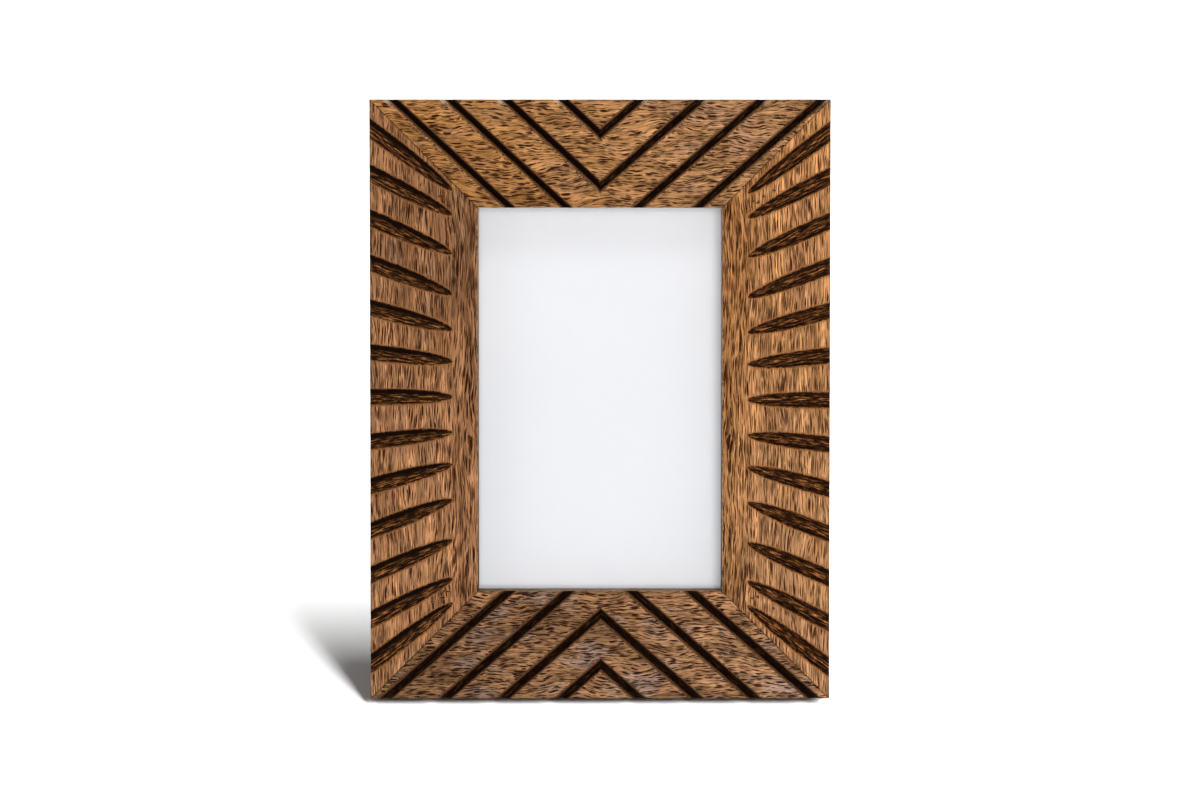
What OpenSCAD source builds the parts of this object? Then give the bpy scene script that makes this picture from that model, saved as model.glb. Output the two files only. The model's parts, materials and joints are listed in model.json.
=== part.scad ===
// Wooden picture frame for a 4 by 6 inch print, leaning back on its easel leg.
// The rails carry burnt chevron grooves and the stiles carry gouged rays.
// The frame is drawn upright, with its back face on Y = 0 and its lower edge on Z = 0,
// and is then leaned back so that it stands on its rear lower edge and on the leg's foot.

/* [Print and glazing] */
// Width of the print that the frame holds
print_w = 101.6; // [80:0.1:130]
// Height of the print
print_h = 152.4; // [120:0.1:200]
// How far the front lip covers each edge of the print
print_cover = 6.35; // [4:0.05:10]
// Gap between the print and the rebate's wall, all round
print_play = 1.0; // [0.6:0.1:2]
// Gap between the glass or the board and the rebate's wall, all round
pane_play = 0.5; // [0.2:0.1:1]
// Thickness of the glass
glass_t = 2.0; // [1.5:0.1:3]
// Thickness of the paper insert
insert_t = 0.3; // [0.2:0.05:1]
// Thickness of the backing board
board_t = 3.0; // [2:0.1:4]

/* [Wooden members] */
// Width of every rail and stile across its face
rail_w = 39.2; // [34:0.1:55]
// Thickness of the wood from front to back
rail_t = 18; // [14:0.5:25]
// Flat that breaks the front edges, measured along each face
arris = 0.5; // [0.2:0.1:1]

/* [Chevron grooves in the rails] */
// Distance from the outer edge to the first point of the chevrons
chevron_first = 13.0; // [9:0.1:18]
// Distance from one point to the next, down the middle of the rail
chevron_pitch = 18.8; // [14:0.1:22]
// Number of grooves on each half of a rail
chevron_count = 4; // [1:1:4]
// Width of a groove at the face
chevron_w = 3.8; // [2:0.1:6]
// Width of a groove's flat bottom
chevron_floor = 0.8; // [0.4:0.1:2]
// Depth of a groove
chevron_depth = 2.4; // [1:0.1:4]
// Slope of the grooves on the left of the top rail, in degrees
slope_top_left = 42.6; // [36:0.1:48]
// Slope of the grooves on the right of the top rail
slope_top_right = 40.9; // [36:0.1:48]
// Slope of the grooves on the left of the bottom rail
slope_bottom_left = 41.0; // [36:0.1:48]
// Slope of the grooves on the right of the bottom rail
slope_bottom_right = 41.1; // [36:0.1:48]

/* [Gouged rays in the stiles] */
// Tilt of each ray in degrees, from the middle one to the last one at either end
ray_tilts = [0, 6.5, 15, 21, 23.5, 27, 37];
// Distance from the frame's end to the last ray, at the outer edge
ray_margin = 11.4; // [9:0.1:20]
// Plain strip between the rays' tips and the sight edge
ray_strip = 9.2; // [5:0.1:14]
// Radius of the gouge that cuts the rays
gouge_r = 4.25; // [3:0.05:6]
// Greatest depth of a ray
ray_depth = 1.4; // [0.6:0.1:2.5]
// Distance from the outer edge to the deepest place of a ray
ray_low = 5; // [2:0.5:9]
// How far the left stile's rays stand above the middle, as marked out by hand
ray_lift_left = 1.0; // [-2:0.1:2]
// How far the right stile's rays stand above the middle
ray_lift_right = 0.0; // [-2:0.1:2]

/* [Corner nails] */
// Length of each wing of a V nail
nail_wing = 7; // [4:0.5:9]
// Thickness of a nail's steel
nail_t = 0.6; // [0.4:0.1:1]
// Depth of a nail below the back face
nail_depth = 10; // [6:0.5:13]
// Distance from the outer corner to the outer nail, along either edge
nail_outer = 11; // [8:0.5:14]
// Distance from the outer corner to the inner nail, along either edge
nail_inner = 24; // [20:0.5:27]

/* [Easel leg] */
// Angle at which the frame leans back, in degrees
lean = 12; // [8:0.5:18]
// Height of the leg's hinge above the middle of the frame, along the back
hinge_rise = 40.95; // [12:0.05:60]
// How far the folded leg stops short of the frame's lower edge
leg_short = 1.5; // [0.5:0.1:2.5]
// Thickness of the leg
leg_t = 3.0; // [2:0.1:4]
// Width of the leg at its top
leg_top_w = 26; // [22:0.5:34]
// Width of the leg at its foot
leg_foot_w = 44; // [34:0.5:60]

/* [Strut hinge] */
// Width of both hinge leaves
leaf_w = 22; // [20:0.5:26]
// Thickness of the leaves
leaf_t = 0.8; // [0.5:0.1:1.2]
// Height of the leaf on the board, from the pin upwards
board_leaf_h = 15; // [13:0.5:20]
// Length of the leaf on the leg, from the pin downwards
leg_leaf_h = 24; // [20:0.5:34]
// Radius of the barrel round the pin
barrel_r = 1.9; // [1.8:0.05:2.6]
// Radius of the pin
pin_r = 1.0; // [0.6:0.05:1.1]
// How far each end of the pin stands out of the barrel
pin_proud = 0.5; // [0.2:0.1:1]
// Width of the leg leaf's knuckle, between the two of the board leaf
knuckle_w = 10; // [8:0.5:12]
// Width of the tail above the pin, which stops the leg from opening further
tail_w = 7; // [4:0.5:8]
// Radius of the rivets' shanks
rivet_r = 1.2; // [0.8:0.1:1.5]
// Radius of the rivets' heads
rivet_head_r = 2.2; // [1.8:0.1:2.6]
// Height of the rivets' heads
rivet_head_h = 0.9; // [0.6:0.1:1.2]
// Distance between the two rivets of the board leaf
board_rivet_gap = 14; // [13:0.5:15]
// Height of the board leaf's rivets above the pin
board_rivet_h = 10; // [8:0.5:11]
// Distance from the pin down to the first rivet of the leg leaf
leg_rivet_first = 8; // [7:0.5:10]
// Distance between the two rivets of the leg leaf
leg_rivet_gap = 10; // [8:0.5:10]

/* [Turn buttons] */
// Radius of a button's round end, about its screw
button_r = 6; // [4.5:0.5:8]
// Radius of a button's tip
button_tip_r = 4; // [2.5:0.5:4.5]
// Distance from the screw to the centre of the tip
button_reach = 13; // [12:0.5:16]
// Thickness of a button
button_t = 1.0; // [0.6:0.1:1.5]
// Distance from the rebate's wall to the screw, in the stile
button_set = 9; // [8:0.5:11]
// Height of the upper and lower buttons above and below the middle
button_spread = 45; // [30:1:60]
// Radius of a screw's shank
screw_r = 1.4; // [1:0.1:2]
// Depth of a screw in the wood
screw_depth = 9; // [6:0.5:12]
// Radius of a screw's head
screw_head_r = 3.0; // [2.5:0.1:4]
// Height of a screw's head
screw_head_h = 1.7; // [1.2:0.1:2.5]
// Width of the slot in a screw's head
slot_w = 0.8; // [0.6:0.1:1]
// Depth of that slot
slot_depth = 0.7; // [0.4:0.1:0.9]

/* [Running clearances] */
// Gap between the pin and the bore that turns on it
pin_play = 0.05; // [0.02:0.01:0.09]
// Gap between neighbouring knuckles
knuckle_gap = 0.4; // [0.3:0.05:0.8]
// Gap between the barrel or the folded leg and the backing board
fold_gap = 0.4; // [0.3:0.05:0.8]
// Gap between the leg's parts and the fixed knuckles, across the pin
swing_gap = 0.6; // [0.4:0.05:1]
// Gap left between the tail and the board leaf when the leg is open
stop_gap = 0.05; // [0.02:0.01:0.1]
// Gap under and over a turn button
button_lift = 0.1; // [0.05:0.05:0.3]
// Gap between a turn button and its screw's shank
button_play = 0.05; // [0.02:0.01:0.09]

/* [Hidden] */
$fn = 48;

// The sight opening, the whole frame and the rebate behind the lip
sight_w = print_w - 2 * print_cover;
sight_h = print_h - 2 * print_cover;
outer_w = sight_w + 2 * rail_w;
outer_h = sight_h + 2 * rail_w;
rebate_w = print_cover + print_play;
rebate_d = glass_t + insert_t + board_t;
bay_w = print_w + 2 * print_play;
bay_h = print_h + 2 * print_play;
mid_h = outer_h / 2;
hinge_height = mid_h + hinge_rise;

// A groove's flank runs out by this much for each unit of depth
flank = (chevron_w - chevron_floor) / 2 / chevron_depth;
// Cutters run past the wood by this much
over = 10;

// Thirteen rays stand at an even pitch between the two end margins
ray_steps = len(ray_tilts) - 1;
ray_pitch = (mid_h - ray_margin) / ray_steps;
ray_reach = rail_w - ray_strip;

// The strut hinge: the barrel's height over the board, and the leg's back face from the pin
leg_back = barrel_r - leaf_t;
axis_h = fold_gap + max(leg_t - leg_back, barrel_r);
leg_top = barrel_r + swing_gap;

// The open leg meets the floor with the rear corner of its foot
hinge_z = hinge_height * cos(lean) - axis_h * sin(lean);
leg_reach = hinge_height - leg_short;
foot_r = norm([leg_reach, leg_back]);
leg_slope = acos(hinge_z / foot_r) - atan2(leg_back, leg_reach);
opening = lean + leg_slope;
tail_h = (leg_back * cos(opening) + axis_h - leaf_t - stop_gap) / sin(opening);

// The origin is at the middle of the floor that the standing frame covers
front_y = arris * sin(lean) - rail_t * cos(lean);
hinge_y = hinge_height * sin(lean) + axis_h * cos(lean);
foot_y = hinge_y + leg_reach * sin(leg_slope) + leg_back * cos(leg_slope);
shift_y = -(front_y + foot_y) / 2;

button_x = bay_w / 2 + button_set;
button_places = [[-1, 1], [1, 1], [-1, -1], [1, -1]];

wood_gold = [0.60, 0.41, 0.22];
wood_brown = [0.56, 0.37, 0.22];
steel = [0.72, 0.70, 0.66];
black_board = [0.10, 0.10, 0.10];

// Leans upright work back and centres it over the floor
module leaned() {
    translate([0, shift_y, 0])
        rotate([-lean, 0, 0])
            children();
}

// Places work drawn about the hinge pin, with the leg folded flat
module at_hinge() {
    leaned()
        translate([0, axis_h, hinge_height])
            children();
}

module at_open_leg() {
    at_hinge()
        rotate([opening, 0, 0])
            children();
}

// Extrudes an outline drawn in X and Z from front_face backwards
module slab(front_face, depth) {
    translate([0, front_face + depth, 0])
        rotate([90, 0, 0])
            linear_extrude(depth)
                children();
}

// One mitred member, lying along X with its outer edge on Z = 0
module member(span) {
    intersection() {
        rotate([0, -90, 0])
            linear_extrude(span + 2 * over, center = true)
                polygon([
                    [0, 0],
                    [0, arris - rail_t],
                    [arris, -rail_t],
                    [rail_w - arris, -rail_t],
                    [rail_w, arris - rail_t],
                    [rail_w, -rebate_d],
                    [rail_w - rebate_w, -rebate_d],
                    [rail_w - rebate_w, 0]
                ]);
        slab(-rail_t - over, rail_t + 2 * over)
            polygon([
                [-span / 2, 0],
                [span / 2, 0],
                [span / 2 - rail_w, rail_w],
                [rail_w - span / 2, rail_w]
            ]);
    }
}

// One straight groove on the right half, rising from its point on the centre line
module groove(slope) {
    reach = outer_w;
    intersection() {
        rotate([0, -slope, 0])
            rotate([90, 0, 0])
                rotate([90, 0, 90])
                    translate([0, 0, -over])
                        linear_extrude(reach)
                            polygon([
                                [-chevron_floor / 2, -chevron_depth],
                                [chevron_floor / 2, -chevron_depth],
                                [chevron_w / 2 + flank * over, over],
                                [-chevron_w / 2 - flank * over, over]
                            ]);
        translate([0, -2 * over, -reach])
            cube([reach, 4 * over, 2 * reach]);
    }
}

// All the grooves of a rail whose outer edge is on Z = 0, opening downwards to that edge
module chevrons(left_slope, right_slope) {
    for (i = [0 : chevron_count - 1])
        translate([0, -rail_t, chevron_first + i * chevron_pitch]) {
            groove(-right_slope);
            mirror([1, 0, 0])
                groove(-left_slope);
        }
}

// One ray: a sweep of the round gouge along an arc that dips below the face and leaves it
// at the ray's tip. X runs inwards from the outer edge and the face is on Y = 0.
module ray(tilt) {
    half_run = ray_reach / cos(tilt) - ray_low;
    sole_r = (half_run * half_run + ray_depth * ray_depth) / (2 * ray_depth);
    path_r = sole_r - gouge_r;
    start = -asin((ray_low + over) / path_r);
    end = asin((half_run + over) / path_r);
    rotate([0, tilt, 0])
        translate([ray_low, ray_depth - sole_r, 0])
            rotate([180, 0, 90])
                rotate([0, 0, start])
                    rotate_extrude(angle = end - start)
                        translate([path_r, 0])
                            circle(r = gouge_r);
}

// A left stile with its rays, standing at the frame's left
module rayed_stile(lift) {
    difference() {
        translate([-outer_w / 2, 0, mid_h])
            rotate([0, 90, 0])
                member(outer_h);
        for (i = [-ray_steps : ray_steps])
            translate([-outer_w / 2, -rail_t, mid_h + lift + i * ray_pitch])
                ray(sign(i) * ray_tilts[abs(i)]);
    }
}

// A V nail at the upper right corner, with a wing in each member
module nail() {
    slab(-nail_depth, nail_depth)
        polygon([
            [nail_t / 2, nail_t / 2],
            [-nail_wing, nail_t / 2],
            [-nail_wing, -nail_t / 2],
            [-nail_t / 2, -nail_t / 2],
            [-nail_t / 2, -nail_wing],
            [nail_t / 2, -nail_wing]
        ]);
}

module nail_set() {
    translate([0, 0, mid_h])
        for (across = [0, 1], up = [0, 1])
            mirror([across, 0, 0])
                mirror([0, 0, up])
                    for (inset = [nail_outer, nail_inner])
                        translate([outer_w / 2 - inset, 0, mid_h - inset])
                            nail();
}

// Carries work drawn about a turn button's screw to one of its four places,
// with the button pointing inwards along X
module at_button(place) {
    translate([place[0] * button_x, 0, mid_h + place[1] * button_spread])
        mirror([place[0] > 0 ? 1 : 0, 0, 0])
            children();
}

// A cylinder that runs backwards along Y from its start
module pin_along_y(start, length, radius) {
    translate([0, start, 0])
        rotate([-90, 0, 0])
            cylinder(h = length, r = radius);
}

module screw_shank() {
    pin_along_y(-screw_depth, screw_depth + button_t + 2 * button_lift, screw_r);
}

module screw_shanks() {
    for (place = button_places)
        at_button(place)
            screw_shank();
}

module top_rail() {
    color(wood_gold)
        leaned()
            difference() {
                translate([0, 0, outer_h])
                    mirror([0, 0, 1])
                        difference() {
                            member(outer_w);
                            chevrons(slope_top_left, slope_top_right);
                        }
                nail_set();
            }
}

module bottom_rail() {
    color(wood_brown)
        leaned()
            difference() {
                member(outer_w);
                chevrons(slope_bottom_left, slope_bottom_right);
                nail_set();
            }
}

module left_stile() {
    color(wood_brown)
        leaned()
            difference() {
                rayed_stile(ray_lift_left);
                nail_set();
                screw_shanks();
            }
}

module right_stile() {
    color(wood_brown)
        leaned()
            difference() {
                mirror([1, 0, 0])
                    rayed_stile(ray_lift_right);
                nail_set();
                screw_shanks();
            }
}

module corner_nails() {
    color(steel)
        leaned()
            nail_set();
}

// A flat sheet centred in the bay, from front_face backwards
module sheet(width, height, front_face, thickness) {
    translate([0, 0, mid_h])
        slab(front_face, thickness)
            square([width, height], center = true);
}

module glass_pane() {
    color([0.80, 0.88, 0.88, 0.4])
        leaned()
            sheet(bay_w - 2 * pane_play, bay_h - 2 * pane_play, -rebate_d, glass_t);
}

module photo_insert() {
    color([0.95, 0.95, 0.97])
        leaned()
            sheet(print_w, print_h, -board_t - insert_t, insert_t);
}

module backing_board() {
    color(black_board)
        leaned()
            difference() {
                sheet(bay_w - 2 * pane_play, bay_h - 2 * pane_play, -board_t, board_t);
                for (side = [-1, 1])
                    translate([side * board_rivet_gap / 2, 0, hinge_height + board_rivet_h])
                        pin_along_y(-board_t - over, board_t + 2 * over, rivet_r);
            }
}

// A cylinder along X, centred on the hinge pin
module along_pin(length, radius) {
    rotate([0, 90, 0])
        cylinder(h = length, r = radius, center = true);
}

module board_hinge_leaf() {
    notch_w = knuckle_w + 2 * knuckle_gap;
    color(steel)
        at_hinge()
            difference() {
                union() {
                    slab(-axis_h, leaf_t)
                        polygon([
                            [-leaf_w / 2, 0],
                            [leaf_w / 2, 0],
                            [leaf_w / 2, board_leaf_h - rivet_head_r],
                            [leaf_w / 2 - rivet_head_r, board_leaf_h],
                            [rivet_head_r - leaf_w / 2, board_leaf_h],
                            [-leaf_w / 2, board_leaf_h - rivet_head_r]
                        ]);
                    along_pin(leaf_w, barrel_r);
                    translate([-leaf_w / 2, -axis_h, 0])
                        cube([leaf_w, axis_h, barrel_r]);
                }
                translate([-notch_w / 2, -axis_h - over, -over])
                    cube([notch_w, axis_h + 2 * over, over + barrel_r + swing_gap]);
                along_pin(leaf_w + 2 * over, pin_r);
                for (side = [-1, 1])
                    translate([side * board_rivet_gap / 2, 0, board_rivet_h])
                        pin_along_y(-axis_h - over, axis_h + over, rivet_r);
            }
}

module hinge_pin() {
    color(steel)
        at_hinge()
            along_pin(leaf_w + 2 * pin_proud, pin_r);
}

// A rivet whose head sits on Y = 0 and whose shank runs forwards through the grip
module rivet(grip) {
    pin_along_y(-grip, grip, rivet_r);
    rotate([-90, 0, 0])
        cylinder(h = rivet_head_h, r1 = rivet_head_r, r2 = rivet_head_r - rivet_head_h);
}

module board_rivets() {
    color(steel)
        at_hinge()
            for (side = [-1, 1])
                translate([side * board_rivet_gap / 2, leaf_t - axis_h, board_rivet_h])
                    rivet(leaf_t + board_t);
}

module leg_rivet_places() {
    for (i = [0, 1])
        translate([0, barrel_r, -leg_rivet_first - i * leg_rivet_gap])
            children();
}

// The leg is cut off level with the floor when it is open
module easel_leg() {
    color(black_board)
        difference() {
            at_open_leg()
                difference() {
                    slab(leg_back - leg_t, leg_t)
                        polygon([
                            [-leg_top_w / 2, -leg_top],
                            [leg_top_w / 2, -leg_top],
                            [leg_foot_w / 2, -leg_reach],
                            [-leg_foot_w / 2, -leg_reach]
                        ]);
                    leg_rivet_places()
                        pin_along_y(-leg_t - 2 * over, leg_t + 4 * over, rivet_r);
                }
            translate([-leg_foot_w, -outer_h, -over])
                cube([2 * leg_foot_w, 2 * outer_h, over]);
        }
}

module leg_hinge_leaf() {
    color(steel)
        at_open_leg()
            difference() {
                union() {
                    slab(leg_back, leaf_t)
                        polygon([
                            [-leaf_w / 2, -leg_top],
                            [-knuckle_w / 2, -leg_top],
                            [-knuckle_w / 2, 0],
                            [-tail_w / 2, 0],
                            [-tail_w / 2, tail_h],
                            [tail_w / 2, tail_h],
                            [tail_w / 2, 0],
                            [knuckle_w / 2, 0],
                            [knuckle_w / 2, -leg_top],
                            [leaf_w / 2, -leg_top],
                            [leaf_w / 2, rivet_head_r - leg_leaf_h],
                            [leaf_w / 2 - rivet_head_r, -leg_leaf_h],
                            [rivet_head_r - leaf_w / 2, -leg_leaf_h],
                            [-leaf_w / 2, rivet_head_r - leg_leaf_h]
                        ]);
                    along_pin(knuckle_w, barrel_r);
                }
                along_pin(knuckle_w + 2 * over, pin_r + pin_play);
                leg_rivet_places()
                    pin_along_y(-leg_t - over, leg_t + 2 * over, rivet_r);
            }
}

module leg_rivets() {
    color(steel)
        at_open_leg()
            leg_rivet_places()
                rivet(leaf_t + leg_t);
}

// A flat tab that narrows from its screw to its tip, drilled for the screw
module turn_button(number) {
    color(steel)
        leaned()
            at_button(button_places[number - 1])
                difference() {
                    slab(button_lift, button_t)
                        hull() {
                            circle(r = button_r, $fn = 32);
                            translate([button_reach, 0])
                                circle(r = button_tip_r, $fn = 32);
                        }
                    pin_along_y(-over, button_t + 2 * over, screw_r + button_play);
                }
}

module button_screw() {
    head_y = button_t + 2 * button_lift;
    screw_shank();
    difference() {
        translate([0, head_y, 0])
            rotate([-90, 0, 0])
                cylinder(h = screw_head_h, r1 = screw_head_r, r2 = screw_head_r - screw_head_h / 2);
        translate([-over, head_y + screw_head_h - slot_depth, -slot_w / 2])
            cube([2 * over, over, slot_w]);
    }
}

module button_screws() {
    color(steel)
        leaned()
            for (place = button_places)
                at_button(place)
                    button_screw();
}

top_rail();
bottom_rail();
left_stile();
right_stile();
corner_nails();
glass_pane();
photo_insert();
backing_board();
board_hinge_leaf();
hinge_pin();
board_rivets();
easel_leg();
leg_hinge_leaf();
leg_rivets();
turn_button(1);  // turn_button_1
turn_button(2);  // turn_button_2
turn_button(3);  // turn_button_3
turn_button(4);  // turn_button_4
button_screws();
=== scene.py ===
import json
import math

import bmesh
import bpy
from mathutils import Matrix, Vector, noise

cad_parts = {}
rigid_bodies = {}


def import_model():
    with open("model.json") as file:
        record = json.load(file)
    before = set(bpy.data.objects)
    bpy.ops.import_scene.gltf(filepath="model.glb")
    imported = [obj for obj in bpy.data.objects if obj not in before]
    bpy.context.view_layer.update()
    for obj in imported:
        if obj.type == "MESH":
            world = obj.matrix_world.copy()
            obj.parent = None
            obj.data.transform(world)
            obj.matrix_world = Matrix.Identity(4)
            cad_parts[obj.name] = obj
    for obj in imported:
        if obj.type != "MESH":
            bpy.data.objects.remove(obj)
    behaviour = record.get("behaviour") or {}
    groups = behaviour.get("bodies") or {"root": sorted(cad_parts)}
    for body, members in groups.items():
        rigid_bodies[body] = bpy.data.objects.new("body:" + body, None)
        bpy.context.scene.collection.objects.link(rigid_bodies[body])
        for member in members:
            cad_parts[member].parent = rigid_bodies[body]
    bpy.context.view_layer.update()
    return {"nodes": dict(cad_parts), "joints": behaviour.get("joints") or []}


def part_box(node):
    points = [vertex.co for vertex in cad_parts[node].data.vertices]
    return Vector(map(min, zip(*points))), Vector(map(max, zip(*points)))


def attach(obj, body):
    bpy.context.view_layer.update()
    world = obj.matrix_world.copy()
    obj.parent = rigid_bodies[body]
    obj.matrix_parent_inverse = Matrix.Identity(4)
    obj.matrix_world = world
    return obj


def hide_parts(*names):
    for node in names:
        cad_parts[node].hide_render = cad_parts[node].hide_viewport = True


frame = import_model()
mm = 0.001


# How the frame stands
# Four mitred members stand on their rear lower edge and lean back. Upright axes have X to
# the right, Y to the back with the back face on 0, and Z up from the lower edge.
lean = math.radians(12)
righted = Matrix.Rotation(lean, 3, "X")
stile_points = [righted @ v.co for v in frame["nodes"]["left_stile"].data.vertices]
back_face = max(p.y for p in stile_points)
wood_t = back_face - min(p.y for p in stile_points)
outer_h = max(p.z for p in stile_points) - min(p.z for p in stile_points)
outer_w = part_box("right_stile")[1].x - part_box("left_stile")[0].x
mid_h = outer_h / 2
face_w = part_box("left_stile")[1].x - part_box("left_stile")[0].x
leaned = Matrix.Translation((0, back_face / math.cos(lean), 0)) @ Matrix.Rotation(-lean, 4, "X")
same_point = 0.001 * mm


def solid_copy(node, stand):
    """The node's solid, its doubled points merged, in the axes that stand carries to the world"""
    shape = bmesh.new()
    shape.from_mesh(frame["nodes"][node].data)
    bmesh.ops.remove_doubles(shape, verts=shape.verts, dist=same_point)
    bmesh.ops.dissolve_limit(
        shape, angle_limit=math.radians(0.5), verts=shape.verts, edges=shape.edges
    )
    bmesh.ops.transform(shape, matrix=stand.inverted(), verts=shape.verts)
    return shape


def put_in_scene(name, data):
    """An object that holds a mesh, a lamp or a camera"""
    holder = bpy.data.objects.new(name, data)
    bpy.context.scene.collection.objects.link(holder)
    return holder


def fit_piece(name, shape, stand, node, body, materials, crease=30):
    """Turns a shape into a piece that takes the node's place and rides on its body"""
    bmesh.ops.transform(shape, matrix=stand, verts=shape.verts)
    mesh = bpy.data.meshes.new(name)
    shape.to_mesh(mesh)
    shape.free()
    mesh.shade_smooth()
    mesh.set_sharp_from_angle(angle=math.radians(crease))
    for material in materials:
        mesh.materials.append(material)
    piece = put_in_scene(name, mesh)
    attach(piece, body)
    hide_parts(node)


# The timber
# Open-pored hardwood, sawn with the grain along each member. Short dark pores lie along the
# grain, drift with its figure and show on every face.
def feed(tree, socket, value):
    """Links a socket to another's output, or sets it to a plain value"""
    if isinstance(value, bpy.types.NodeSocket):
        tree.links.new(value, socket)
    else:
        socket.default_value = value


def add(tree, kind, output=0, sockets=(), **settings):
    """Adds a shader node, feeds the sockets named or numbered, and gives back one output"""
    node = tree.nodes.new(kind)
    for key, value in settings.items():
        setattr(node, key, value)
    for key, value in dict(sockets).items():
        feed(tree, node.inputs[key], value)
    return node.outputs[output]


def sum_of(tree, operation, *values):
    """A Math node on sockets or numbers"""
    return add(tree, "ShaderNodeMath", 0, dict(enumerate(values)), operation=operation)


def product(tree, first, *others):
    """Multiplies sockets or numbers together"""
    for other in others:
        first = sum_of(tree, "MULTIPLY", first, other)
    return first


def vector_sum(tree, operation, *values):
    """A Vector Math node on sockets or plain vectors"""
    return add(tree, "ShaderNodeVectorMath", 0, dict(enumerate(values)), operation=operation)


def length_of(tree, vector):
    """How long a vector is"""
    return add(tree, "ShaderNodeVectorMath", "Value", {0: vector}, operation="LENGTH")


def axes_of(tree, vector):
    """A vector's three outputs, X, Y and Z"""
    node = tree.nodes.new("ShaderNodeSeparateXYZ")
    feed(tree, node.inputs[0], vector)
    return node.outputs


def ramp(tree, value, low, high, at_low=0.0, at_high=1.0):
    """Eases from at_low to at_high as value goes from low to high"""
    sockets = {0: value, 1: low, 2: high, 3: at_low, 4: at_high}
    return add(tree, "ShaderNodeMapRange", 0, sockets, interpolation_type="SMOOTHSTEP")


def mixed(tree, share, first, second, blend="MIX"):
    """Mixes two colours"""
    sockets = {0: share, 6: first, 7: second}
    return add(tree, "ShaderNodeMix", 2, sockets, data_type="RGBA", blend_type=blend)


def stretched(tree, vector, scale, offset=(0.0, 0.0, 0.0)):
    """A vector scaled by a different number on each axis"""
    sockets = {"Vector": vector, "Scale": scale, "Location": offset}
    return add(tree, "ShaderNodeMapping", 0, sockets)


def clouds(tree, vector, scale, detail=2.0, roughness=0.5, offset=(0.0, 0.0, 0.0)):
    """Noise from 0 to 1, with so many cycles to the unit on each axis"""
    spot = stretched(tree, vector, scale, offset)
    sockets = {"Vector": spot, "Scale": 1.0, "Detail": detail, "Roughness": roughness}
    return add(tree, "ShaderNodeTexNoise", "Fac", sockets)


def new_group(name, inputs, outputs):
    """A shader node group, the sockets that it is given and those of its result"""
    tree = bpy.data.node_groups.new(name, "ShaderNodeTree")
    for direction, sockets in (("INPUT", inputs), ("OUTPUT", outputs)):
        for label, kind in sockets.items():
            tree.interface.new_socket(name=label, in_out=direction, socket_type="NodeSocket" + kind)
    given = tree.nodes.new("NodeGroupInput").outputs
    return tree, given, tree.nodes.new("NodeGroupOutput").inputs


timber, given, result = new_group(
    "open_pored_timber",
    {"Grain": "Vector", "Pale": "Color", "Dark": "Color", "Patch": "Color", "Pore": "Color",
     "Patches": "Float", "Pores": "Float", "Knot": "Vector"},
    {"Color": "Color", "Pore mask": "Float", "Height": "Float"},
)
grain = given["Grain"]
# The rows part round a small knot
from_knot = vector_sum(timber, "SUBTRACT", grain, given["Knot"])
knot_reach = length_of(timber, stretched(timber, from_knot, (0.12, 0.2, 0.05)))
parting = ramp(timber, knot_reach, 0.0, 1.5, -0.7, 0.0)
swell = product(timber, parting, axes_of(timber, from_knot)["Y"])
# The figure bends the pores' rows by a millimetre or two over a few centimetres
slow_bend = clouds(timber, grain, (0.035, 0.05, 0.05))
quick_bend = clouds(timber, grain, (0.16, 0.25, 0.25), offset=(7.0, 3.0, 5.0))
slow_bend = sum_of(timber, "MULTIPLY_ADD", slow_bend, 9.0, -4.5)
quick_bend = sum_of(timber, "MULTIPLY_ADD", quick_bend, 1.1, -0.55)
bend = sum_of(timber, "ADD", sum_of(timber, "ADD", slow_bend, quick_bend), swell)
bend = add(timber, "ShaderNodeCombineXYZ", 0, {"Y": bend})
flow = vector_sum(timber, "ADD", grain, bend)
tone = ramp(timber, clouds(timber, flow, (0.03, 0.16, 0.16), 3.0, 0.6), 0.36, 0.64)
fibre = clouds(timber, flow, (0.1, 1.7, 1.7), 4.0, 0.68)
hair = clouds(timber, flow, (0.3, 5.0, 5.0), 1.0, offset=(5.0, 5.0, 5.0))
crowd = clouds(timber, flow, (0.06, 0.22, 0.22), 1.0, offset=(2.0, 9.0, 4.0))


def pore_rows(length, pitch, half_length, half_width, offset):
    """Slender pores with pointed ends, one in each cell of so many mm, some left out by luck"""
    spot = stretched(timber, flow, (1 / length, 1 / pitch, 1 / pitch), offset)
    cells = timber.nodes.new("ShaderNodeTexVoronoi")
    feed(timber, cells.inputs["Vector"], spot)
    cells.inputs["Scale"].default_value = 1.0
    away = vector_sum(timber, "SUBTRACT", spot, cells.outputs["Position"])
    run = axes_of(timber, stretched(timber, away, (1 / half_length, 0, 0)))["X"]
    run = product(timber, run, run)
    span = length_of(timber, stretched(timber, away, (0, 1 / half_width, 1 / half_width)))
    luck = add(timber, "ShaderNodeSeparateColor", 0, {0: cells.outputs["Color"]})
    size = sum_of(timber, "MULTIPLY_ADD", luck, 0.7, crowd)
    size = sum_of(timber, "MINIMUM", sum_of(timber, "ADD", size, given["Pores"]), 1.1)
    inside = sum_of(timber, "SUBTRACT", size, sum_of(timber, "ADD", run, span))
    return ramp(timber, inside, -0.07, 0.09)


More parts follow.
